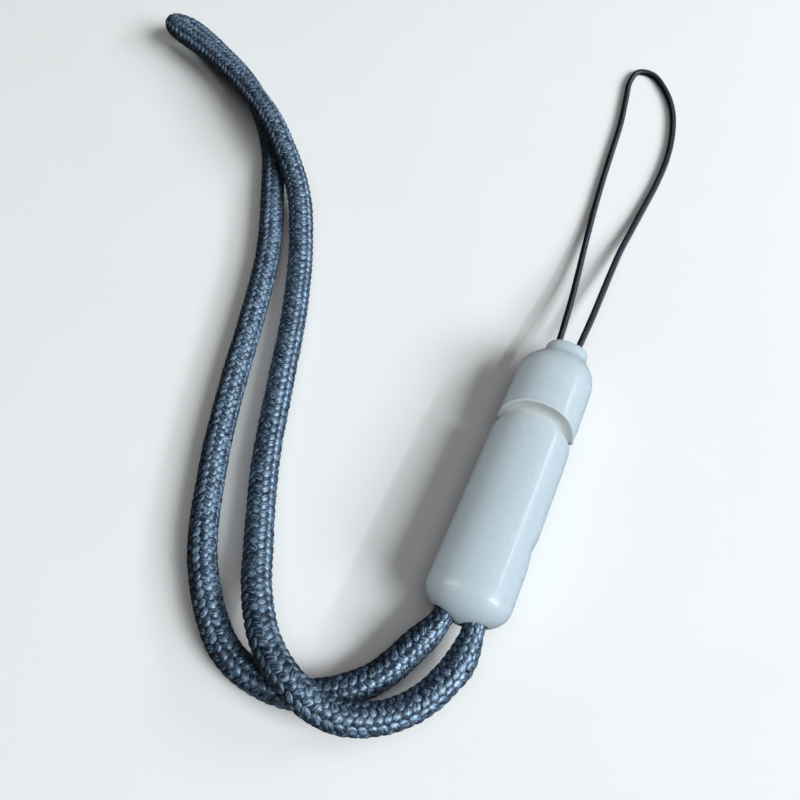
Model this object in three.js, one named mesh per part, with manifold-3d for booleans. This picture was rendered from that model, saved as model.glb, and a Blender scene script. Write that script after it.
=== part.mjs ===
// Phone wrist strap: a folded round cord and a thin phone loop, joined by a two-shell clasp.
// Millimetres, +Z up. The strap lies on its back on the plane z = 0. The clasp runs along Y,
// its middle above the origin: the wrist cord leaves it towards -Y, the phone loop towards +Y.
import * as THREE from 'three';
import Module from 'manifold-3d';
import { mergeVertices } from 'three/addons/utils/BufferGeometryUtils.js';

const wasm = await Module();
wasm.setup();

// Clasp
const CLASP_LENGTH = 52.1;
const CLASP_WIDTH = 13.4;
const CLASP_THICKNESS = 10.8;
const CLASP_TAPER = 0.2; // half the width lost from the lower end to the neck
const BACK_FLAT_DEPTH = 0.35; // how far the flat back cuts into the oval section
const SECTION_POWER = 2.1; // 2 is an ellipse, more is squarer
const WALL = 1.0;

// Lower shell
const SLEEVE_LENGTH = 33.6; // lower end to the rim, at the sides
const SLEEVE_RIM_RISE = 0.8; // the rim stands higher at the front and back
const SLEEVE_RIM_POWER = 2.0;
const SLEEVE_END_DEPTH = 4.6; // depth of the domed lower end
const SLEEVE_END_WALL = 3.2;

// Upper shell
const GROOVE_WIDTH = 1.2; // between the two rims, at the sides
const CAP_RIM_RISE = 2.3;
const CAP_RIM_POWER = 0.9;
const CAP_HEAD_LENGTH = 7.6; // where the shoulders start, to the top of the neck
const CAP_END_WALL = 5.0;
const NECK_WIDTH = 7.5;
const NECK_SHIFT = 0.3; // the neck stands a little to the +X side
const NECK_THICKNESS = 6.6;
const NECK_POWER = 2.4; // the neck's section is squarer than the shells'

// Rounded lips of both rims
const LIP_INSET = 0.5; // at the sides
const LIP_TOP_SHARE = 0.35; // the inset at the front and back, as a share of that
const LIP_LENGTH = 2.4;
const RIM_BLEND = 7.0; // the rise fades out over this length

// Dent in the sleeve's +X side
const DENT_FROM_END = 14.4;
const DENT_DEPTH = 0.38;
const DENT_HALF_LENGTH = 2.6;
const DENT_HALF_HEIGHT = 3.4;

// Cords
const WRIST_CORD_DIAMETER = 4.8;
const PHONE_CORD_DIAMETER = 1.25;
const WRIST_HOLE_CLEARANCE = 0.3; // all round the cord
const NECK_SLOT_CLEARANCE = 0.25;
const NECK_STRAND_OFFSET = 1.7; // each thin strand's distance from the clasp's axis
const CORD_HEIGHT_IN_CLASP = 5.4;
const CORD_PINCH = 0.27; // share of the wrist cord's thickness lost inside the clasp
const PINCHED_LENGTH = 8.5; // each end of the wrist cord that is pinched all along
const PINCH_FADE = 3.0; // the pinch fades out over about this length beyond it

// Hidden pieces and the insert
const PLUG_CLEARANCE = 0.3;
const PLUG_REACH = 6.0; // how far the insert goes into the sleeve
const SEAT_GAP = 0.3; // between the insert, the knot and the cord's ends
const CRIMP_LENGTH = 6.0;
const CRIMP_FROM_END = 8.8; // lower end of the clasp to the crimp
const KNOT_LENGTH = 4.0;
const KNOT_WIDTH = 6.4;
const KNOT_THICKNESS = 4.4;

// Fineness of the faceted surfaces
const SECTION_SIDES = 72;
const DOME_RINGS = 12;
const LIP_RINGS = 4;
const HEAD_RINGS = 20;
const DENT_RINGS = 4;
const WRIST_CORD_SIDES = 12;
const PHONE_CORD_SIDES = 8;
const HOLE_SIDES = 24;
const HOLE_STEPS = 5; // points of the cord's route that each of its holes follows

// Places along Y that follow from the sizes above
const CLASP_BOTTOM = -CLASP_LENGTH / 2;
const CLASP_TOP = CLASP_LENGTH / 2;
const SLEEVE_RIM = CLASP_BOTTOM + SLEEVE_LENGTH;
const CAP_RIM = SLEEVE_RIM + GROOVE_WIDTH;
const SHOULDER = CLASP_TOP - CAP_HEAD_LENGTH;
const CAP_CAVITY_END = CLASP_TOP - CAP_END_WALL;
const KNOT_START = CAP_CAVITY_END - SEAT_GAP - KNOT_LENGTH;
const SECTION_HALF_THICKNESS = (CLASP_THICKNESS + BACK_FLAT_DEPTH) / 2;
const SECTION_CENTRE_Z = CLASP_THICKNESS - SECTION_HALF_THICKNESS;

// Head of the cap from the shoulders to the neck's top. along: share of the head's length;
// out: share of the step from the neck's section out to the full one.
const HEAD = [
  { along: 0.00, out: 1.00 },
  { along: 0.12, out: 0.98 },
  { along: 0.27, out: 0.90 },
  { along: 0.39, out: 0.77 },
  { along: 0.50, out: 0.57 },
  { along: 0.59, out: 0.36 },
  { along: 0.66, out: 0.18 },
  { along: 0.73, out: 0.07 },
  { along: 0.81, out: 0.01 },
  { along: 0.88, out: 0.00 },
  { along: 0.94, out: -0.03 },
  { along: 0.98, out: -0.08 },
  { along: 1.00, out: -0.16 },
];

// Middle line of the wrist cord, from inside the clasp round the loop and back inside.
const WRIST_ROUTE = [
  [2.25, -17.5, 5.1], [2.25, -24.5, 5.1], [2.5, -27.6, 5.0], [2.3, -31.0, 4.9],
  [-0.5, -37.7, 4.6], [-5.1, -42.4, 5.0], [-11.1, -44.9, 6.5], [-17.3, -43.9, 7.4],
  [-23.6, -40.3, 6.6],
  [-28.9, -34.3, 4.8], [-33.5, -25.9, 3.1], [-39.4, -12.7, 2.4], [-44.2, 1.7, 2.4],
  [-49.2, 16.9, 2.4], [-55.3, 31.5, 2.9], [-60.9, 41.7, 4.4], [-66.9, 48.7, 6.3],
  [-74.0, 55.5, 7.5], [-83.6, 62.6, 7.1], [-96.1, 69.9, 6.3], [-109.0, 75.5, 5.8],
  [-111.0, 77.1, 5.2], [-111.4, 78.9, 4.0], [-109.9, 80.1, 2.9], [-106.9, 79.5, 2.4],
  [-98.5, 75.2, 2.4], [-87.6, 68.5, 2.4], [-79.1, 60.5, 2.4], [-72.6, 52.0, 2.4],
  [-66.5, 40.5, 2.4], [-60.3, 27.1, 2.4], [-55.7, 12.5, 2.4], [-51.7, -2.3, 2.4],
  [-46.7, -17.7, 2.4], [-39.5, -33.1, 2.4], [-29.0, -43.1, 2.4], [-17.5, -43.9, 2.4],
  [-8.9, -38.3, 2.6], [-4.5, -30.8, 3.7], [-2.95, -27.6, 4.6], [-2.25, -24.5, 5.1],
  [-2.25, -17.5, 5.1],
];

// Middle line of the thin cord, out of the neck, round the loop and back in.
const PHONE_ROUTE = [
  [-1.7, 20.9, 5.4], [-1.7, 27.5, 5.3], [-2.1, 33.5, 4.5], [-2.6, 39.5, 3.5],
  [-3.4, 47.0, 2.3], [-4.4, 56.0, 1.3], [-5.3, 65.0, 0.8], [-6.0, 73.5, 0.7],
  [-6.6, 82.5, 0.7], [-7.2, 91.5, 0.7], [-8.3, 100.0, 0.7], [-9.0, 106.0, 0.7],
  [-8.1, 109.9, 0.7], [-4.9, 110.3, 0.7], [-1.1, 106.5, 0.7], [2.1, 100.5, 0.7],
  [4.0, 93.0, 0.7], [4.8, 85.0, 0.7], [4.6, 77.0, 0.7], [3.9, 69.5, 0.8],
  [3.2, 62.0, 1.2], [2.6, 55.0, 1.8], [2.4, 48.5, 2.6], [2.3, 41.5, 3.6],
  [2.2, 35.0, 4.6], [1.9, 27.5, 5.3], [1.7, 20.9, 5.4],
];

// Finishes
const shellFinish = new THREE.MeshStandardMaterial({ color: 0xc3d0d6, roughness: 0.3, metalness: 0 });
const plugFinish = new THREE.MeshStandardMaterial({ color: 0xaab4b8, roughness: 0.4, metalness: 0 });
const wristFinish = new THREE.MeshStandardMaterial({ color: 0x4d5b78, roughness: 0.8, metalness: 0 });
const phoneFinish = new THREE.MeshStandardMaterial({ color: 0x1a2236, roughness: 0.7, metalness: 0 });
const hiddenFinish = new THREE.MeshStandardMaterial({ color: 0x8c9094, roughness: 0.6, metalness: 0 });

// Half the clasp's full width at a place along Y
function halfWidthAt(y) {
  return CLASP_WIDTH / 2 - CLASP_TAPER * y / CLASP_LENGTH;
}

// How far the side dent sets a surface point inwards
function dentInset(y, height, angle) {
  const along = Math.abs(y - (CLASP_BOTTOM + DENT_FROM_END)) / DENT_HALF_LENGTH;
  const across = Math.abs(height) / DENT_HALF_HEIGHT;
  if (along >= 1 || across >= 1 || Math.cos(angle) <= 0) {
    return 0;
  }
  const fade = Math.cos(along * Math.PI / 2) * Math.cos(across * Math.PI / 2);
  return DENT_DEPTH * fade * fade;
}

// One closed ring of points round the clasp's axis. The back is cut flat at floorZ.
function ring({ y, halfWidth, halfThickness, floorZ = 0, ...shape }) {
  const { power = SECTION_POWER, rise = 0, risePower = 1, shift = 0, dented = false } = shape;
  const points = [];
  for (let i = 0; i < SECTION_SIDES; i += 1) {
    const angle = 2 * Math.PI * i / SECTION_SIDES;
    const c = Math.cos(angle);
    const s = Math.sin(angle);
    const x = Math.sign(c) * Math.abs(c) ** (2 / power) * halfWidth;
    const height = Math.sign(s) * Math.abs(s) ** (2 / power) * halfThickness;
    const inset = dented ? dentInset(y, height, angle) : 0;
    const z = Math.max(SECTION_CENTRE_Z + height, floorZ);
    points.push(new THREE.Vector3(x + shift - inset, y + rise * Math.abs(s) ** risePower, z));
  }
  return points;
}

// Closed body through rings of equal count, with a fan to the middle of the first and last ring
function loft(rings) {
  const positions = [];
  const indices = [];
  const count = rings[0].length;
  for (const points of rings) {
    for (const point of points) {
      positions.push(point.x, point.y, point.z);
    }
  }
  for (let level = 0; level + 1 < rings.length; level += 1) {
    for (let i = 0; i < count; i += 1) {
      const here = level * count + i;
      const next = level * count + (i + 1) % count;
      indices.push(here, here + count, next, next, here + count, next + count);
    }
  }
  for (const level of [0, rings.length - 1]) {
    const middle = rings[level].reduce((sum, point) => sum.add(point), new THREE.Vector3());
    middle.divideScalar(count);
    const centre = positions.length / 3;
    positions.push(middle.x, middle.y, middle.z);
    for (let i = 0; i < count; i += 1) {
      const here = level * count + i;
      const next = level * count + (i + 1) % count;
      indices.push(...(level === 0 ? [centre, here, next] : [centre, next, here]));
    }
  }
  const geometry = new THREE.BufferGeometry();
  geometry.setAttribute('position', new THREE.Float32BufferAttribute(positions, 3));
  geometry.setIndex(indices);
  return geometry;
}

// Closed mesh to solid and back, for the cuts
function toSolid(geometry) {
  const bare = geometry.clone();
  bare.deleteAttribute('normal');
  bare.deleteAttribute('uv');
  const merged = mergeVertices(bare);
  return new wasm.Manifold(new wasm.Mesh({
    numProp: 3,
    vertProperties: new Float32Array(merged.attributes.position.array),
    triVerts: new Uint32Array(merged.index.array),
  }));
}

function toGeometry(solid) {
  const mesh = solid.getMesh();
  const geometry = new THREE.BufferGeometry();
  geometry.setAttribute('position', new THREE.BufferAttribute(mesh.vertProperties, 3));
  geometry.setIndex(new THREE.BufferAttribute(mesh.triVerts, 1));
  return geometry;
}

// Rings of a shell's outside just before its rim: sign is +1 where the rim faces +Y, -1 where -Y
function rimRings(rim, sign, rise, risePower, dented) {
  const rings = [];
  const at = (y, inset, share) => ring({
    y,
    halfWidth: halfWidthAt(y) - inset,
    halfThickness: SECTION_HALF_THICKNESS - inset * LIP_TOP_SHARE,
    rise: rise * share,
    risePower,
    dented,
  });
  rings.push(at(rim - sign * RIM_BLEND, 0, 0));
  rings.push(at(rim - sign * (RIM_BLEND + LIP_LENGTH) / 2, 0, 0.5));
  rings.push(at(rim - sign * LIP_LENGTH, 0, 1));
  for (let i = 1; i <= LIP_RINGS; i += 1) {
    const turn = Math.PI / 2 * i / LIP_RINGS;
    rings.push(at(rim - sign * LIP_LENGTH * (1 - Math.sin(turn)), LIP_INSET * (1 - Math.cos(turn)), 1));
  }
  return rings;
}

// Rings of a shell's cavity from its rim to the cavity's end
function cavityRings(rim, end, rise, risePower) {
  const at = (y, share) => ring({
    y,
    halfWidth: halfWidthAt(y) - WALL,
    halfThickness: SECTION_HALF_THICKNESS - WALL,
    floorZ: WALL,
    rise: rise * share,
    risePower,
  });
  return [at(rim, 1), at((rim + end) / 2, 0), at(end, 0)];
}

// Curve through a route whose even steps are the chosen points themselves
class ChosenSteps extends THREE.CatmullRomCurve3 {
  getUtoTmapping(u) {
    return u;
  }
}

// Round body along a route, with a radius for each of its points
function sweep(route, radii, sides) {
  const points = route.map((place) => new THREE.Vector3(...place));
  const curve = new ChosenSteps(points, false, 'centripetal');
  const { normals, binormals } = curve.computeFrenetFrames(points.length - 1, false);
  return loft(points.map((middle, step) => {
    const round = [];
    for (let i = 0; i < sides; i += 1) {
      const angle = 2 * Math.PI * i / sides;
      const point = middle.clone().addScaledVector(normals[step], radii[step] * Math.cos(angle));
      round.push(point.addScaledVector(binormals[step], -radii[step] * Math.sin(angle)));
    }
    return round;
  }));
}

// Radius of the wrist cord at each point of its route: the clasp pinches both ends
function wristRadii() {
  const points = WRIST_ROUTE.map((place) => new THREE.Vector3(...place));
  const along = [0];
  for (let i = 1; i < points.length; i += 1) {
    along.push(along[i - 1] + points[i].distanceTo(points[i - 1]));
  }
  const length = along[along.length - 1];
  return along.map((s) => {
    const beyond = Math.max(Math.min(s, length - s) - PINCHED_LENGTH, 0);
    return WRIST_CORD_DIAMETER / 2 * (1 - CORD_PINCH * Math.exp(-((beyond / PINCH_FADE) ** 2)));
  });
}

// Lower shell: domed end, dented side, arched rim, open cavity and two holes for the wrist cord
function claspSleeve() {
  const rings = [];
  for (let i = 1; i <= DOME_RINGS; i += 1) {
    const turn = Math.PI / 2 * i / DOME_RINGS;
    const y = CLASP_BOTTOM + SLEEVE_END_DEPTH * (1 - Math.cos(turn));
    rings.push(ring({
      y,
      halfWidth: halfWidthAt(y) * Math.sin(turn),
      halfThickness: SECTION_HALF_THICKNESS * Math.sin(turn),
    }));
  }
  for (let i = 0; i <= DENT_RINGS; i += 1) {
    const y = CLASP_BOTTOM + DENT_FROM_END + DENT_HALF_LENGTH * (2 * i / DENT_RINGS - 1);
    rings.push(ring({
      y,
      halfWidth: halfWidthAt(y),
      halfThickness: SECTION_HALF_THICKNESS,
      dented: true,
    }));
  }
  rings.push(...rimRings(SLEEVE_RIM, 1, SLEEVE_RIM_RISE, SLEEVE_RIM_POWER, true));
  rings.push(...cavityRings(SLEEVE_RIM, CLASP_BOTTOM + SLEEVE_END_WALL, SLEEVE_RIM_RISE, SLEEVE_RIM_POWER));
  const holeRadii = wristRadii().map((radius) => radius + WRIST_HOLE_CLEARANCE);
  const firstHole = sweep(WRIST_ROUTE.slice(0, HOLE_STEPS), holeRadii.slice(0, HOLE_STEPS), HOLE_SIDES);
  const lastHole = sweep(WRIST_ROUTE.slice(-HOLE_STEPS), holeRadii.slice(-HOLE_STEPS), HOLE_SIDES);
  const cut = toSolid(loft(rings)).subtract(toSolid(firstHole)).subtract(toSolid(lastHole));
  return toGeometry(cut);
}

// Upper shell: open cavity, arched rim, shoulders, neck and one slot for both thin strands
function claspCap() {
  const inside = cavityRings(CAP_RIM, CAP_CAVITY_END, CAP_RIM_RISE, CAP_RIM_POWER).reverse();
  const outside = rimRings(CAP_RIM, -1, CAP_RIM_RISE, CAP_RIM_POWER, false).reverse();
  const profile = new THREE.SplineCurve(HEAD.map(({ along, out }) => new THREE.Vector2(along, out)));
  const head = profile.getPoints(HEAD_RINGS).map(({ x: along, y: out }) => {
    const y = SHOULDER + CAP_HEAD_LENGTH * along;
    return ring({
      y,
      halfWidth: THREE.MathUtils.lerp(NECK_WIDTH / 2, halfWidthAt(y), out),
      halfThickness: THREE.MathUtils.lerp(NECK_THICKNESS / 2, SECTION_HALF_THICKNESS, out),
      power: THREE.MathUtils.lerp(NECK_POWER, SECTION_POWER, Math.max(out, 0)),
      shift: NECK_SHIFT * (1 - Math.max(out, 0)),
    });
  });
  const slot = new THREE.Shape();
  const slotRadius = PHONE_CORD_DIAMETER / 2 + NECK_SLOT_CLEARANCE;
  slot.absarc(NECK_STRAND_OFFSET, 0, slotRadius, -Math.PI / 2, Math.PI / 2, false);
  slot.absarc(-NECK_STRAND_OFFSET, 0, slotRadius, Math.PI / 2, 3 * Math.PI / 2, false);
  const cutter = new THREE.ExtrudeGeometry(slot, {
    depth: 2 * CAP_END_WALL,
    bevelEnabled: false,
    curveSegments: HOLE_SIDES / 2,
  });
  cutter.rotateX(-Math.PI / 2);
  cutter.translate(0, CAP_CAVITY_END - CAP_END_WALL / 2, CORD_HEIGHT_IN_CLASP);
  return toGeometry(toSolid(loft([...inside, ...outside, ...head])).subtract(toSolid(cutter)));
}

// Plain block with the cavity's section, clear of its walls
function cavityBlock(start, end) {
  const at = (y) => ring({
    y,
    halfWidth: halfWidthAt(y) - WALL - PLUG_CLEARANCE,
    halfThickness: SECTION_HALF_THICKNESS - WALL - PLUG_CLEARANCE,
    floorZ: WALL + PLUG_CLEARANCE,
  });
  return loft([at(start), at(end)]);
}

function claspPlug() {
  return cavityBlock(SLEEVE_RIM - PLUG_REACH, KNOT_START - SEAT_GAP);
}

function cordCrimp() {
  const start = CLASP_BOTTOM + CRIMP_FROM_END;
  return cavityBlock(start, start + CRIMP_LENGTH);
}

function loopKnot() {
  const lump = new THREE.SphereGeometry(1, PHONE_CORD_SIDES * 2, PHONE_CORD_SIDES);
  lump.scale(KNOT_WIDTH / 2, KNOT_LENGTH / 2, KNOT_THICKNESS / 2);
  lump.translate(0, KNOT_START + KNOT_LENGTH / 2, CORD_HEIGHT_IN_CLASP);
  return lump;
}

function named(name, geometry, material) {
  const mesh = new THREE.Mesh(geometry, material);
  mesh.name = name;
  return mesh;
}

const phoneRadii = PHONE_ROUTE.map(() => PHONE_CORD_DIAMETER / 2);
const strap = new THREE.Group();
strap.add(named('wrist_cord', sweep(WRIST_ROUTE, wristRadii(), WRIST_CORD_SIDES), wristFinish));
strap.add(named('clasp_sleeve', claspSleeve(), shellFinish));
strap.add(named('clasp_plug', claspPlug(), plugFinish));
strap.add(named('clasp_cap', claspCap(), shellFinish));
strap.add(named('phone_loop', sweep(PHONE_ROUTE, phoneRadii, PHONE_CORD_SIDES), phoneFinish));
strap.add(named('cord_crimp', cordCrimp(), hiddenFinish));
strap.add(named('loop_knot', loopKnot(), hiddenFinish));

export default strap;
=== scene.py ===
"""Looks of the phone wrist strap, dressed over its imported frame.

Sizes are metres and places are in the frame's own axes: +Y runs along the clasp from the wrist cord
to the phone loop, +Z stands up from the surface, and the strap lies on z = 0.
"""
import math

import bpy
import numpy as np
from mathutils import Matrix, Vector

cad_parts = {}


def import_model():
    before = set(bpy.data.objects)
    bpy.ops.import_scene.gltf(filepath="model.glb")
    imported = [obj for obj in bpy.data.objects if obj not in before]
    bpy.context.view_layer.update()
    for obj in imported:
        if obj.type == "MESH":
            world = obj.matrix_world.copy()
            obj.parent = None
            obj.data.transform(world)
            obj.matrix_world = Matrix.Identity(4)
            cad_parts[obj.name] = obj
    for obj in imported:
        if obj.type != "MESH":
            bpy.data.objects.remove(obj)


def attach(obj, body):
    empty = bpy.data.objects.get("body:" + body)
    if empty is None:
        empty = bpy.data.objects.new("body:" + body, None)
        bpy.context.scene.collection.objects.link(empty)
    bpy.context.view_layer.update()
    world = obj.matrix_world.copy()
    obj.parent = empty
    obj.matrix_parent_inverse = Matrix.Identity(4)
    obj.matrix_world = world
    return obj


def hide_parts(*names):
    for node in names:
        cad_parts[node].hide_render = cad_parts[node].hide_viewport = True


# Camera
LENS = 36.0
SENSOR = 36.0
CAMERA_PLACE = (0.00428, -0.05714, 0.12300)
CAMERA_TILT = 30.0
CAMERA_TURN = 23.47
CLIP_NEAR = 0.01
CLIP_FAR = 10.0

# Cords
WRIST_DIAMETER = 0.0048
PHONE_DIAMETER = 0.00125
WRIST_PINCH = 0.27
PHONE_PINCH = 0.05
PINCHED_LENGTH = 0.0085
PINCH_FADE = 0.0030
SPAN_SAMPLES = 40
LINE_STEP = 0.0002

WRIST_ROUTE = [
    (0.00225, -0.0175, 0.0051),
    (0.00225, -0.0245, 0.0051),
    (0.0025, -0.0276, 0.0050),
    (0.0023, -0.0310, 0.0049),
    (-0.0005, -0.0377, 0.0046),
    (-0.0051, -0.0424, 0.0050),
    (-0.0111, -0.0449, 0.0065),
    (-0.0173, -0.0439, 0.0074),
    (-0.0236, -0.0403, 0.0066),
    (-0.0289, -0.0343, 0.0048),
    (-0.0335, -0.0259, 0.0031),
    (-0.0394, -0.0127, 0.0024),
    (-0.0442, 0.0017, 0.0024),
    (-0.0492, 0.0169, 0.0024),
    (-0.0553, 0.0315, 0.0029),
    (-0.0609, 0.0417, 0.0044),
    (-0.0669, 0.0487, 0.0063),
    (-0.0740, 0.0555, 0.0075),
    (-0.0836, 0.0626, 0.0071),
    (-0.0961, 0.0699, 0.0063),
    (-0.1090, 0.0755, 0.0058),
    (-0.1110, 0.0771, 0.0052),
    (-0.1114, 0.0789, 0.0040),
    (-0.1099, 0.0801, 0.0029),
    (-0.1069, 0.0795, 0.0024),
    (-0.0985, 0.0752, 0.0024),
    (-0.0876, 0.0685, 0.0024),
    (-0.0791, 0.0605, 0.0024),
    (-0.0726, 0.0520, 0.0024),
    (-0.0665, 0.0405, 0.0024),
    (-0.0603, 0.0271, 0.0024),
    (-0.0557, 0.0125, 0.0024),
    (-0.0517, -0.0023, 0.0024),
    (-0.0467, -0.0177, 0.0024),
    (-0.0395, -0.0331, 0.0024),
    (-0.0290, -0.0431, 0.0024),
    (-0.0175, -0.0439, 0.0024),
    (-0.0089, -0.0383, 0.0026),
    (-0.0045, -0.0308, 0.0037),
    (-0.00295, -0.0276, 0.0046),
    (-0.00225, -0.0245, 0.0051),
    (-0.00225, -0.0175, 0.0051),
]

PHONE_ROUTE = [
    (-0.0017, 0.0209, 0.0054),
    (-0.0017, 0.0275, 0.0053),
    (-0.0021, 0.0335, 0.0045),
    (-0.0026, 0.0395, 0.0035),
    (-0.0034, 0.0470, 0.0023),
    (-0.0044, 0.0560, 0.0013),
    (-0.0053, 0.0650, 0.0008),
    (-0.0060, 0.0735, 0.0007),
    (-0.0066, 0.0825, 0.0007),
    (-0.0072, 0.0915, 0.0007),
    (-0.0083, 0.1000, 0.0007),
    (-0.0090, 0.1060, 0.0007),
    (-0.0081, 0.1099, 0.0007),
    (-0.0049, 0.1103, 0.0007),
    (-0.0011, 0.1065, 0.0007),
    (0.0021, 0.1005, 0.0007),
    (0.0040, 0.0930, 0.0007),
    (0.0048, 0.0850, 0.0007),
    (0.0046, 0.0770, 0.0007),
    (0.0039, 0.0695, 0.0008),
    (0.0032, 0.0620, 0.0012),
    (0.0026, 0.0550, 0.0018),
    (0.0024, 0.0485, 0.0026),
    (0.0023, 0.0415, 0.0036),
    (0.0022, 0.0350, 0.0046),
    (0.0019, 0.0275, 0.0053),
    (0.0017, 0.0209, 0.0054),
]

# Braid: floats stand in columns round the cord, and each column leans the other way from the next
WRIST_COLUMNS = 10
WRIST_PITCH = 0.00141
WRIST_GRID = (6, 7)
PHONE_COLUMNS = 8
PHONE_PITCH = 0.00056
PHONE_GRID = (4, 6)
FLOAT_LEAN = 0.27
FLOAT_WIDTH = 1.18
FLOAT_LENGTH = 1.30
FLOAT_RELIEF = 0.066
FLOAT_END_WIDTH = 0.14
FLOAT_END_POWER = 3.0
ARCH_SHARES = (0.40, 0.55)
ARCH_POWERS = (2, 6)
DIP_SHARES = (0.50, 0.45)
DIP_POWERS = (2.0, 5)
CORE_DEPTH = 0.052
CORE_SIDES = 16
WANDER = 0.06
HEIGHT_WANDER = WANDER / 6
WRIST_SEED = 1
PHONE_SEED = 2

# Clasp
CLASP_LENGTH = 0.0521
CLASP_HALF_WIDTH = 0.0067
CLASP_TAPER = 0.0002
SECTION_POWER = 2.1
SECTION_HALF_THICKNESS = 0.005575
SECTION_CENTRE_Z = 0.005225
SLEEVE_LENGTH = 0.0336
SLEEVE_RIM = SLEEVE_LENGTH - CLASP_LENGTH / 2
SLEEVE_RIM_RISE = 0.0008
SLEEVE_RIM_POWER = 2.0
RIM_GAP = 0.0012
CAP_RIM = SLEEVE_RIM + RIM_GAP
CAP_RIM_RISE = 0.0023
CAP_RIM_POWER = 0.9

# Insert between the shells. Share of the way from the sleeve's rim to the cap's, and depth under
# the shells' surface
INSERT_SIDES = 96
INSERT_PROFILE = [
    (-1.20, 0.00230),
    (-0.20, 0.00230),
    (0.45, 0.00230),
    (0.68, 0.00212),
    (0.82, 0.00170),
    (0.90, 0.00115),
    (0.94, 0.00065),
    (0.96, 0.00030),
    (0.985, 0.00010),
    (1.02, 0.00003),
    (1.06, 0.00003),
]
# The last rows, at the cap's rim, take a paler plastic: a painted highlight along its edge.
INSERT_HIGHLIGHT_ROWS = 3

# Rounding of the moulded edges
SHELL_EDGE = 0.00015
HIDDEN_EDGE = 0.0001
EDGE_SEGMENTS = 2
SHARP_ANGLE = math.radians(40.0)

# Yarn, each with the tones along its ramp, the painted shade that darkens each float towards its rim,
# the streaks' scale across and along a float, the depth of the filaments, the roughness, and how strong
# and blue the gleam is
SLATE_YARN = {
    "tones": [(0.35, (0.005, 0.009, 0.017)), (0.53, (0.030, 0.049, 0.084)), (0.72, (0.23, 0.34, 0.48))],
    "deep": (0.004, 0.007, 0.013),
    "streak_scale": (7.0, 1.8),
    "filament_depth": 0.00013,
    "roughness": 0.42,
    "gloss": 1.0,
    "tint": (0.58, 0.78, 1.0),
}
NAVY_YARN = {
    "tones": [(0.40, (0.005, 0.007, 0.012)), (0.62, (0.016, 0.022, 0.034)), (0.85, (0.07, 0.09, 0.13))],
    "deep": (0.002, 0.003, 0.005),
    "streak_scale": (4.0, 1.0),
    "filament_depth": 0.00003,
    "roughness": 0.5,
    "gloss": 0.45,
    "tint": (0.80, 0.88, 1.0),
}
YARN_ANISOTROPY = 0.8
YARN_IOR = 1.85
TONE_SHIFT = 37.0
TONE_SHARE = 0.12
SHADE_START = 0.40
SHADE_END = 1.15
RIM_ROUGHNESS = 0.95
SLATE_CORE = (0.004, 0.006, 0.012)
NAVY_CORE = (0.003, 0.004, 0.007)
CORE_GRAIN = 2500.0
CORE_RANGE = (0.3, 0.7)
CORE_DARK_SHARE = 0.6
CORE_ROUGHNESS = 0.9
CORE_GLOSS = 0.1

# Plastic, each with its pale and deep tone, its roughness, and what handling marks add to that
SHELL_PLASTIC = ((0.425, 0.505, 0.560), (0.405, 0.483, 0.535), 0.24, 0.06)
INSERT_PLASTIC = ((0.52, 0.56, 0.57), (0.48, 0.52, 0.53), 0.4, 0.12)
# The lip's plastic is paler than the shell's: a painted highlight along the cap's rim edge.
LIP_HIGHLIGHT_PLASTIC = ((0.60, 0.70, 0.76), (0.56, 0.66, 0.71), 0.3, 0.10)
HIDDEN_PLASTIC = ((0.36, 0.37, 0.39), (0.31, 0.32, 0.34), 0.5, 0.1)
FLOW_GRAIN = 70.0
FLOW_RANGE = (0.25, 0.75)
WEAR_GRAIN = 260.0
WEAR_RANGE = (0.35, 0.75)
MOTTLE_GRAIN = 900.0
MOTTLE_STRENGTH = 0.5
MOTTLE_DEPTH = 0.00002
PLASTIC_DEPTH = 0.003
PLASTIC_DEPTH_WEIGHT = 0.6
PLASTIC_GLOSS = 0.25

# Table and studio
TABLE_REACH = 1.6
TABLE_GRAIN = 40.0
TABLE_DARK = (0.83, 0.83, 0.83)
TABLE_PALE = (0.86, 0.86, 0.86)
TABLE_ROUGHNESS = 0.8
TABLE_GLOSS = 0.1
BACKDROP_COLOUR = (1.0, 0.99, 0.98, 1.0)
BACKDROP_LIGHT = 0.035
BACKDROP_LOOK = 0.85
MIDDLE = (-0.02, 0.01, 0.0)
UPWARD = (0.0, 0.0, 1.0)
ALONG_CLASP = (0.0, 1.0, 0.0)
STRIP_WAY = (-0.264, 0.937, -0.230)

# Each light: name, place, what it looks at, size, power in watts, colour, the way its second side
# leans, and the pieces that it reaches where it doesn't reach all
LIGHTS = [
    ("sky_light", (0.46, -0.10, 0.87), MIDDLE, (0.80, 0.80), 0.6, (0.96, 0.99, 1.0), UPWARD, ()),
    ("window", (2.20, -0.32, 1.54), MIDDLE, (1.40, 1.40), 100.0, (0.92, 0.98, 1.0), UPWARD, ()),
    (
        "strip",
        (0.350, 0.212, 0.243),
        (0.0, 0.0, 0.01),
        (0.010, 0.19),
        0.52,
        (0.95, 0.98, 1.0),
        STRIP_WAY,
        (),
    ),
    (
        "clasp_fill",
        (-0.60, -0.15, 0.72),
        MIDDLE,
        (0.50, 0.50),
        4.9,
        (1.0, 0.97, 0.94),
        UPWARD,
        ("clasp_sleeve", "clasp_cap", "groove_insert"),
    ),
    (
        "floor_wash",
        (0.0, 0.0, 1.60),
        MIDDLE,
        (1.50, 1.50),
        5.0,
        (1.0, 1.0, 1.0),
        ALONG_CLASP,
        ("floor",),
    ),
]


def make_camera():
    data = bpy.data.cameras.new("camera")
    data.lens = LENS
    data.sensor_width = SENSOR
    data.clip_start = CLIP_NEAR
    data.clip_end = CLIP_FAR
    camera = bpy.data.objects.new("camera", data)
    camera.location = CAMERA_PLACE
    camera.rotation_euler = (math.radians(CAMERA_TILT), 0.0, math.radians(CAMERA_TURN))
    bpy.context.scene.collection.objects.link(camera)
    bpy.context.scene.camera = camera


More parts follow.
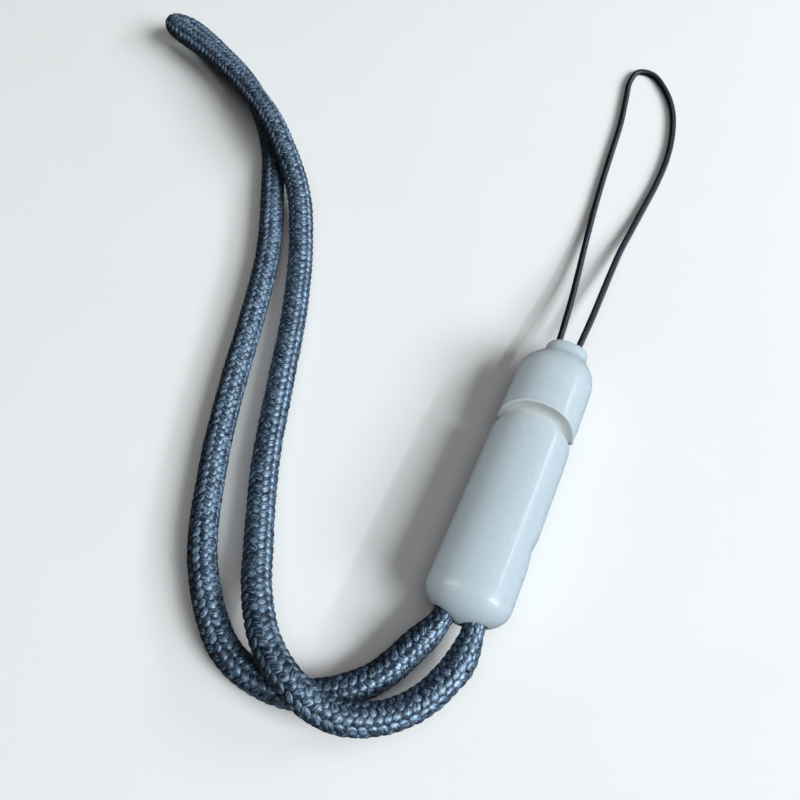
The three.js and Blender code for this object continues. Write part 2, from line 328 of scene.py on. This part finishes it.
def smooth_line(points):
    """Centripetal Catmull-Rom line through the points, sampled at even steps along its length."""
    given = np.array(points)
    before = 2 * given[0] - given[1]
    after = 2 * given[-1] - given[-2]
    posts = np.vstack([before, given, after])
    dense = []
    for i in range(1, len(posts) - 2):
        p0, p1, p2, p3 = posts[i - 1:i + 3]
        t1 = math.sqrt(np.linalg.norm(p1 - p0))
        t2 = t1 + math.sqrt(np.linalg.norm(p2 - p1))
        t3 = t2 + math.sqrt(np.linalg.norm(p3 - p2))
        t = np.linspace(t1, t2, SPAN_SAMPLES, endpoint=False)[:, None]
        a1 = (t1 - t) / t1 * p0 + t / t1 * p1
        a2 = (t2 - t) / (t2 - t1) * p1 + (t - t1) / (t2 - t1) * p2
        a3 = (t3 - t) / (t3 - t2) * p2 + (t - t2) / (t3 - t2) * p3
        b1 = (t2 - t) / t2 * a1 + t / t2 * a2
        b2 = (t3 - t) / (t3 - t1) * a2 + (t - t1) / (t3 - t1) * a3
        dense.append((t2 - t) / (t2 - t1) * b1 + (t - t1) / (t2 - t1) * b2)
    dense = np.vstack(dense + [given[-1:]])
    along = np.concatenate([[0.0], np.cumsum(np.linalg.norm(np.diff(dense, axis=0), axis=1))])
    count = int(along[-1] / LINE_STEP) + 1
    even = np.linspace(0.0, along[-1], count)
    line = np.stack([np.interp(even, along, dense[:, k]) for k in range(3)], axis=1)
    return line, even


def carried_axes(line):
    """Two unit axes square to the line at each of its points, carried along it without twist."""
    tangent = np.gradient(line, axis=0)
    tangent /= np.linalg.norm(tangent, axis=1)[:, None]
    normal = np.zeros_like(line)
    axis = np.array([0.0, 0.0, 1.0])
    for i, t in enumerate(tangent):
        axis = axis - t * np.dot(axis, t)
        axis = axis / np.linalg.norm(axis)
        normal[i] = axis
    return normal, np.cross(tangent, normal)


class Cord:
    """Middle line of a cord, with the axes and the radius that its surface is laid out on."""

    def __init__(self, route, diameter, pinch):
        self.line, self.along = smooth_line(route)
        self.side, self.up = carried_axes(self.line)
        self.radius = diameter / 2
        self.pinch = pinch
        self.length = float(self.along[-1])

    def place(self, s, angle, radius):
        """Points at the lengths s along the cord, at those angles round it and distances out."""
        s = np.clip(s, 0.0, self.length)
        middle = self._at(s, self.line)
        side = self._at(s, self.side)
        up = self._at(s, self.up)
        out = side * np.cos(angle)[..., None] + up * np.sin(angle)[..., None]
        return middle + out * radius[..., None]

    def squeeze(self, s):
        """Share of the full radius at the lengths s: the clasp pinches both ends of the cord."""
        beyond = np.maximum(np.minimum(s, self.length - s) - PINCHED_LENGTH, 0.0)
        return 1 - self.pinch * np.exp(-((beyond / PINCH_FADE) ** 2))

    def _at(self, s, values):
        return np.stack([np.interp(s, self.along, values[:, k]) for k in range(3)], axis=-1)


def grid_faces(count, rows, columns, closed=False):
    """Four-sided faces of count separate grids of points, rows by columns, each in reading order."""
    row, column = np.meshgrid(np.arange(rows - 1), np.arange(columns - (not closed)), indexing="ij")
    following = (column + 1) % columns
    corner = row * columns
    quad = np.stack(
        [corner + column, corner + following, corner + columns + following, corner + columns + column],
        axis=-1,
    ).reshape(-1, 4)
    first = np.arange(count)[:, None, None] * rows * columns
    return (quad[None] + first).reshape(-1, 4)


def mesh_object(name, points, faces, maps):
    """Mesh of the points and faces. maps gives each map of UV values a name and one pair a point."""
    mesh = bpy.data.meshes.new(name)
    mesh.from_pydata(points.tolist(), [], faces.tolist())
    loops = np.empty(len(mesh.loops), dtype=np.int32)
    mesh.loops.foreach_get("vertex_index", loops)
    for map_name, values in maps.items():
        layer = mesh.uv_layers.new(name=map_name)
        layer.data.foreach_set("uv", values[loops].astype(np.float32).ravel())
    mesh.polygons.foreach_set("use_smooth", np.ones(len(mesh.polygons), dtype=bool))
    mesh.update()
    thing = bpy.data.objects.new(name, mesh)
    bpy.context.scene.collection.objects.link(thing)
    return thing


def fall_off(across, shares, powers):
    """How far a float has sunk at a place across it, from 0 on its crest to near 1 at its rim."""
    return sum(share * np.abs(across) ** power for share, power in zip(shares, powers))


def braid_floats(cord, columns, pitch, grid, rng):
    """Points, faces and maps of the pillow-shaped floats of a braid of two over, two under."""
    across, steps = grid
    half_step = math.pi * cord.radius / columns
    lean = np.array([half_step, pitch * FLOAT_LEAN])
    reach = np.linalg.norm(lean)
    half_length = reach * FLOAT_LENGTH
    half_width = half_step * pitch / 2 / reach * FLOAT_WIDTH
    rows = int(cord.length / pitch)
    row, column = np.meshgrid(np.arange(rows), np.arange(columns), indexing="ij")
    row, column = row.ravel(), column.ravel()
    count = row.size
    centre_s = (row + 0.5 + 0.5 * (column % 2)) * pitch + rng.normal(0, WANDER * pitch, count)
    centre_angle = (column + 0.5) * 2 * math.pi / columns
    way = np.where(column % 2 == 0, 1.0, -1.0)
    u = np.sin(np.linspace(-0.5, 0.5, across) * math.pi)[None, None, :]
    v = np.sin(np.linspace(-0.5, 0.5, steps) * math.pi)[None, :, None]
    taper = np.sqrt(np.clip(1 - np.abs(v) ** FLOAT_END_POWER, 0.0, 1.0))
    end_shape = taper * (1 - FLOAT_END_WIDTH) + FLOAT_END_WIDTH
    wide = half_width * (1 + rng.normal(0, WANDER, count))[:, None, None]
    sideways = u * end_shape * wide
    lengthways = v * half_length + 0 * u
    unit = lean / reach
    turn = way[:, None, None]
    round_way = turn * (lengthways * unit[0]) - sideways * unit[1]
    along_way = lengthways * unit[1] + turn * (sideways * unit[0])
    s = centre_s[:, None, None] + along_way
    angle = centre_angle[:, None, None] + round_way / cord.radius
    arch = fall_off(u, ARCH_SHARES, ARCH_POWERS)
    dip = fall_off(v, DIP_SHARES, DIP_POWERS)
    fall = 1 - (1 - arch) * (1 - dip)
    height = 1 + rng.normal(0, HEIGHT_WANDER, count)[:, None, None]
    radius = cord.radius * (height - 2 * FLOAT_RELIEF * fall) * cord.squeeze(s)
    points = cord.place(s, angle, radius).reshape(-1, 3)
    cloth = np.stack(np.broadcast_arrays(u / 2 + 0.5, v / 2 + 0.5), axis=-1)
    cloth = np.broadcast_to(cloth, (count, steps, across, 2)).reshape(-1, 2)
    tone = np.broadcast_to(rng.random((count, 1, 1, 2)), (count, steps, across, 2)).reshape(-1, 2)
    return points, grid_faces(count, steps, across), {"cloth": cloth, "tone": tone}


def braid_core(cord, pitch):
    """Points, faces and maps of the round body that shows dark between the floats."""
    rings = int(cord.length / pitch) + 1
    s = np.broadcast_to(np.linspace(0.0, cord.length, rings)[:, None], (rings, CORE_SIDES))
    angle = np.broadcast_to(np.arange(CORE_SIDES) * 2 * math.pi / CORE_SIDES, (rings, CORE_SIDES))
    radius = cord.radius * (1 - 2 * CORE_DEPTH) * cord.squeeze(s)
    points = cord.place(s, angle, radius).reshape(-1, 3)
    faces = grid_faces(1, rings, CORE_SIDES, closed=True)
    blank = np.zeros((len(points), 2))
    return points, faces, {"cloth": blank, "tone": blank}


def braid(name, cord, columns, pitch, grid, seed):
    rng = np.random.default_rng(seed)
    points, faces, maps = braid_floats(cord, columns, pitch, grid, rng)
    core_points, core_faces, core_maps = braid_core(cord, pitch)
    joined = {key: np.vstack([maps[key], core_maps[key]]) for key in maps}
    thing = mesh_object(
        name, np.vstack([points, core_points]), np.vstack([faces, core_faces + len(points)]), joined
    )
    core_of = np.zeros(len(faces) + len(core_faces), dtype=np.int32)
    core_of[len(faces):] = 1
    thing.data.polygons.foreach_set("material_index", core_of)
    return thing


def node(tree, kind, **values):
    """New node of that kind. A key is one of the node's own settings, or an input's name."""
    made = tree.nodes.new(kind)
    for key, value in values.items():
        if hasattr(made, key):
            setattr(made, key, value)
        else:
            made.inputs[key.replace("_", " ")].default_value = value
    return made


def new_material(name):
    material = bpy.data.materials.new(name)
    material.use_nodes = True
    tree = material.node_tree
    shader = next(n for n in tree.nodes if n.type == "BSDF_PRINCIPLED")
    return material, tree, shader


def set_shader(shader, **values):
    for key, value in values.items():
        shader.inputs[key.replace("_", " ")].default_value = value


def ramp(tree, stops, source):
    made = tree.nodes.new("ShaderNodeValToRGB")
    elements = made.color_ramp.elements
    while len(elements) < len(stops):
        elements.new(0.5)
    for element, (place, colour) in zip(elements, stops):
        element.position = place
        element.color = (*colour, 1.0)
    tree.links.new(source, made.inputs["Fac"])
    return made.outputs["Color"]


def spread(tree, source, low, high, start=0.0, end=1.0):
    """The source's values from start to end, spread over low to high."""
    made = node(tree, "ShaderNodeMapRange")
    made.inputs["From Min"].default_value = start
    made.inputs["From Max"].default_value = end
    made.inputs["To Min"].default_value = low
    made.inputs["To Max"].default_value = high
    tree.links.new(source, made.inputs["Value"])
    return made.outputs["Result"]


def object_noise(tree, scale, detail, roughness=0.5):
    """Noise that stands still in the object's own space."""
    place = node(tree, "ShaderNodeTexCoord")
    noise = node(tree, "ShaderNodeTexNoise", Scale=scale, Detail=detail, Roughness=roughness)
    tree.links.new(place.outputs["Object"], noise.inputs["Vector"])
    return noise.outputs["Fac"]


def float_streaks(tree, cloth, tone, streak_scale):
    """Noise drawn out along each float, from a place of its own for each of them."""
    link = tree.links.new
    shift = node(tree, "ShaderNodeVectorMath", operation="SCALE")
    shift.inputs["Scale"].default_value = TONE_SHIFT
    link(tone.outputs["UV"], shift.inputs[0])
    own = node(tree, "ShaderNodeVectorMath", operation="ADD")
    link(cloth.outputs["UV"], own.inputs[0])
    link(shift.outputs["Vector"], own.inputs[1])
    stretch = node(tree, "ShaderNodeMapping")
    stretch.inputs["Scale"].default_value = (*streak_scale, 1.0)
    link(own.outputs["Vector"], stretch.inputs["Vector"])
    streaks = node(tree, "ShaderNodeTexNoise", Scale=1.0, Detail=2.0, Roughness=0.5)
    link(stretch.outputs["Vector"], streaks.inputs["Vector"])
    return streaks.outputs["Fac"]


def float_rim_shade(tree, cloth):
    """0 on a float's crest, rising to 1 towards its rim, where it dives under the next ones. It masks
    the painted shade there and the rougher rim.
    """
    link = tree.links.new
    centred = node(tree, "ShaderNodeVectorMath", operation="MULTIPLY_ADD")
    centred.inputs[1].default_value = (2.0, 2.0, 0.0)
    centred.inputs[2].default_value = (-1.0, -1.0, 0.0)
    link(cloth.outputs["UV"], centred.inputs[0])
    outward = node(tree, "ShaderNodeVectorMath", operation="DOT_PRODUCT")
    link(centred.outputs["Vector"], outward.inputs[0])
    link(centred.outputs["Vector"], outward.inputs[1])
    rim = node(tree, "ShaderNodeMapRange", interpolation_type="SMOOTHSTEP")
    rim.inputs["From Min"].default_value = SHADE_START
    rim.inputs["From Max"].default_value = SHADE_END
    link(outward.outputs["Value"], rim.inputs["Value"])
    return rim.outputs["Result"]


def yarn_material(name, tones, deep, streak_scale, filament_depth, roughness, gloss, tint):
    """Braid yarn: fine filaments along each float, each float in a tone of its own, and painted shade
    darkening it towards its rim.
    """
    material, tree, shader = new_material(name)
    link = tree.links.new
    cloth = node(tree, "ShaderNodeUVMap", uv_map="cloth")
    tone = node(tree, "ShaderNodeUVMap", uv_map="tone")
    parts = node(tree, "ShaderNodeSeparateXYZ")
    link(tone.outputs["UV"], parts.inputs[0])
    streaks = float_streaks(tree, cloth, tone, streak_scale)
    mixed = node(tree, "ShaderNodeMath", operation="MULTIPLY_ADD")
    mixed.inputs[1].default_value = TONE_SHARE
    link(parts.outputs["X"], mixed.inputs[0])
    link(streaks, mixed.inputs[2])
    rim = float_rim_shade(tree, cloth)
    # Painted shade: the colour darkens to the deep tone towards each float's rim, where it dives under
    # the next ones.
    shaded = node(tree, "ShaderNodeMix", data_type="RGBA")
    shaded.inputs["B"].default_value = (*deep, 1.0)
    link(rim, shaded.inputs["Factor"])
    link(ramp(tree, tones, mixed.outputs[0]), shaded.inputs["A"])
    link(shaded.outputs["Result"], shader.inputs["Base Color"])
    link(spread(tree, rim, roughness, RIM_ROUGHNESS), shader.inputs["Roughness"])
    bump = node(tree, "ShaderNodeBump", Strength=1.0, Distance=filament_depth)
    link(streaks, bump.inputs["Height"])
    link(bump.outputs["Normal"], shader.inputs["Normal"])
    along = node(tree, "ShaderNodeTangent", direction_type="UV_MAP", uv_map="cloth")
    link(along.outputs["Tangent"], shader.inputs["Tangent"])
    set_shader(shader, Anisotropic=YARN_ANISOTROPY, IOR=YARN_IOR)
    set_shader(shader, Specular_IOR_Level=gloss, Specular_Tint=(*tint, 1.0))
    return material


def core_material(name, colour):
    """Shaded yarn deep between the floats."""
    material, tree, shader = new_material(name)
    dark = tuple(CORE_DARK_SHARE * part for part in colour)
    grain = object_noise(tree, CORE_GRAIN, detail=2.0)
    low, high = CORE_RANGE
    tree.links.new(ramp(tree, [(low, dark), (high, colour)], grain), shader.inputs["Base Color"])
    set_shader(shader, Roughness=CORE_ROUGHNESS, Specular_IOR_Level=CORE_GLOSS)
    return material


def plastic_material(name, pale, deep, roughness, marks):
    """Satin moulded plastic: faint flow marks, fine mottling and a few dull handling marks."""
    material, tree, shader = new_material(name)
    link = tree.links.new
    low, high = FLOW_RANGE
    flow = object_noise(tree, FLOW_GRAIN, detail=3.0)
    link(ramp(tree, [(low, deep), (high, pale)], flow), shader.inputs["Base Color"])
    wear = object_noise(tree, WEAR_GRAIN, detail=4.0, roughness=0.6)
    link(spread(tree, wear, roughness, roughness + marks, *WEAR_RANGE), shader.inputs["Roughness"])
    bump = node(tree, "ShaderNodeBump", Strength=MOTTLE_STRENGTH, Distance=MOTTLE_DEPTH)
    link(object_noise(tree, MOTTLE_GRAIN, detail=2.0), bump.inputs["Height"])
    link(bump.outputs["Normal"], shader.inputs["Normal"])
    set_shader(shader, Subsurface_Weight=PLASTIC_DEPTH_WEIGHT, Subsurface_Scale=PLASTIC_DEPTH)
    set_shader(shader, Subsurface_Radius=(1.0, 1.0, 1.0), Specular_IOR_Level=PLASTIC_GLOSS)
    return material


def dress_plastic(name, material, edge):
    """Give a CAD solid its plastic, smooth faces and slightly rounded edges."""
    thing = bpy.data.objects[name]
    thing.data.materials.clear()
    thing.data.materials.append(material)
    bevel = thing.modifiers.new("edges", "BEVEL")
    bevel.width = edge
    bevel.segments = EDGE_SEGMENTS
    bevel.limit_method = "ANGLE"
    bevel.angle_limit = SHARP_ANGLE
    thing.data.polygons.foreach_set("use_smooth", np.ones(len(thing.data.polygons), dtype=bool))
    thing.data.set_sharp_from_angle(angle=SHARP_ANGLE)


def groove_insert():
    """The insert set back between the two shells, with a soft fillet up to the cap's rim. Its last rows
    are set apart for a paler plastic: a painted highlight along the rim's edge.
    """
    angle = np.arange(INSERT_SIDES) * 2 * math.pi / INSERT_SIDES
    c, s = np.cos(angle), np.sin(angle)
    low_rim = SLEEVE_RIM + SLEEVE_RIM_RISE * np.abs(s) ** SLEEVE_RIM_POWER
    high_rim = CAP_RIM + CAP_RIM_RISE * np.abs(s) ** CAP_RIM_POWER
    rings = []
    for share, inset in INSERT_PROFILE:
        y = low_rim + share * (high_rim - low_rim)
        half_width = CLASP_HALF_WIDTH - CLASP_TAPER * y / CLASP_LENGTH - inset
        x = np.sign(c) * np.abs(c) ** (2 / SECTION_POWER) * half_width
        height = np.sign(s) * np.abs(s) ** (2 / SECTION_POWER) * (SECTION_HALF_THICKNESS - inset)
        z = np.maximum(SECTION_CENTRE_Z + height, inset)
        rings.append(np.stack([x, y, z], axis=1))
    points = np.vstack(rings)
    faces = grid_faces(1, len(rings), INSERT_SIDES, closed=True)
    thing = mesh_object("groove_insert", points, faces, {})
    highlight_rows_of = np.zeros(len(faces), dtype=np.int32)
    highlight_rows_of[-INSERT_HIGHLIGHT_ROWS * INSERT_SIDES:] = 1
    thing.data.polygons.foreach_set("material_index", highlight_rows_of)
    return thing


def floor():
    """Plain pale table that throws no light back on the strap."""
    mesh = bpy.data.meshes.new("floor")
    reach = TABLE_REACH
    corners = [(-reach, -reach, 0.0), (reach, -reach, 0.0), (reach, reach, 0.0), (-reach, reach, 0.0)]
    mesh.from_pydata(corners, [], [(0, 1, 2, 3)])
    thing = bpy.data.objects.new("floor", mesh)
    bpy.context.scene.collection.objects.link(thing)
    material, tree, shader = new_material("pale_table")
    grain = object_noise(tree, TABLE_GRAIN, detail=3.0)
    tone = ramp(tree, [(0.0, TABLE_DARK), (1.0, TABLE_PALE)], grain)
    tree.links.new(tone, shader.inputs["Base Color"])
    set_shader(shader, Roughness=TABLE_ROUGHNESS, Specular_IOR_Level=TABLE_GLOSS)
    mesh.materials.append(material)
    thing.visible_diffuse = False
    thing.visible_glossy = False


def area_light(name, place, aim, size, power, colour, along):
    """Rectangle of light. along is the direction that its second side leans towards."""
    data = bpy.data.lights.new(name, "AREA")
    data.shape = "RECTANGLE"
    data.size, data.size_y = size
    data.energy = power
    data.color = colour
    light = bpy.data.objects.new(name, data)
    light.location = place
    back = (Vector(place) - Vector(aim)).normalized()
    up = Vector(along) - back * back.dot(Vector(along))
    up.normalize()
    light.rotation_euler = Matrix((up.cross(back), up, back)).transposed().to_euler()
    bpy.context.scene.collection.objects.link(light)
    return light


def light_only(light, pieces):
    """Let a light reach these pieces alone."""
    lit = bpy.data.collections.new(light.name + "_reach")
    for name in pieces:
        lit.objects.link(bpy.data.objects[name])
    light.light_linking.receiver_collection = lit


def backdrop():
    """World that looks pale to the camera and gives the strap little light."""
    world = bpy.data.worlds.new("studio")
    world.use_nodes = True
    tree = world.node_tree
    background = tree.nodes["Background"]
    background.inputs["Color"].default_value = BACKDROP_COLOUR
    seen = node(tree, "ShaderNodeLightPath")
    strength = spread(tree, seen.outputs["Is Camera Ray"], BACKDROP_LIGHT, BACKDROP_LOOK)
    tree.links.new(strength, background.inputs["Strength"])
    bpy.context.scene.world = world


def studio():
    backdrop()
    for name, place, aim, size, power, colour, along, pieces in LIGHTS:
        light = area_light(name, place, aim, size, power, colour, along)
        if pieces:
            light_only(light, pieces)
    bpy.context.scene.view_settings.view_transform = "Standard"


def stand_for_cord(piece, solid):
    """Let a braid stand for one cord's solid: it hangs on the root body and the solid is hidden."""
    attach(piece, "root")
    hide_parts(solid)


def dress_cords():
    wrist = Cord(WRIST_ROUTE, WRIST_DIAMETER, WRIST_PINCH)
    phone = Cord(PHONE_ROUTE, PHONE_DIAMETER, PHONE_PINCH)
    wrist_piece = braid("wrist_braid", wrist, WRIST_COLUMNS, WRIST_PITCH, WRIST_GRID, WRIST_SEED)
    phone_piece = braid("phone_braid", phone, PHONE_COLUMNS, PHONE_PITCH, PHONE_GRID, PHONE_SEED)
    stand_for_cord(wrist_piece, "wrist_cord")
    stand_for_cord(phone_piece, "phone_loop")
    wrist_piece.data.materials.append(yarn_material("slate_yarn", **SLATE_YARN))
    wrist_piece.data.materials.append(core_material("slate_core", SLATE_CORE))
    phone_piece.data.materials.append(yarn_material("navy_yarn", **NAVY_YARN))
    phone_piece.data.materials.append(core_material("navy_core", NAVY_CORE))


def dress_clasp():
    shell = plastic_material("shell_plastic", *SHELL_PLASTIC)
    insert = plastic_material("insert_plastic", *INSERT_PLASTIC)
    lip_highlight = plastic_material("lip_highlight_plastic", *LIP_HIGHLIGHT_PLASTIC)
    hidden = plastic_material("hidden_plastic", *HIDDEN_PLASTIC)
    for name in ("clasp_sleeve", "clasp_cap"):
        dress_plastic(name, shell, SHELL_EDGE)
    recess = groove_insert()
    recess.data.materials.append(insert)
    # The lip rows take a paler plastic: a painted highlight along the cap's rim edge.
    recess.data.materials.append(lip_highlight)
    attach(recess, "root")
    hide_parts("clasp_plug")
    for name in ("cord_crimp", "loop_knot"):
        dress_plastic(name, hidden, HIDDEN_EDGE)


def main():
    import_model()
    make_camera()
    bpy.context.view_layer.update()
    dress_cords()
    dress_clasp()
    floor()
    studio()


main()
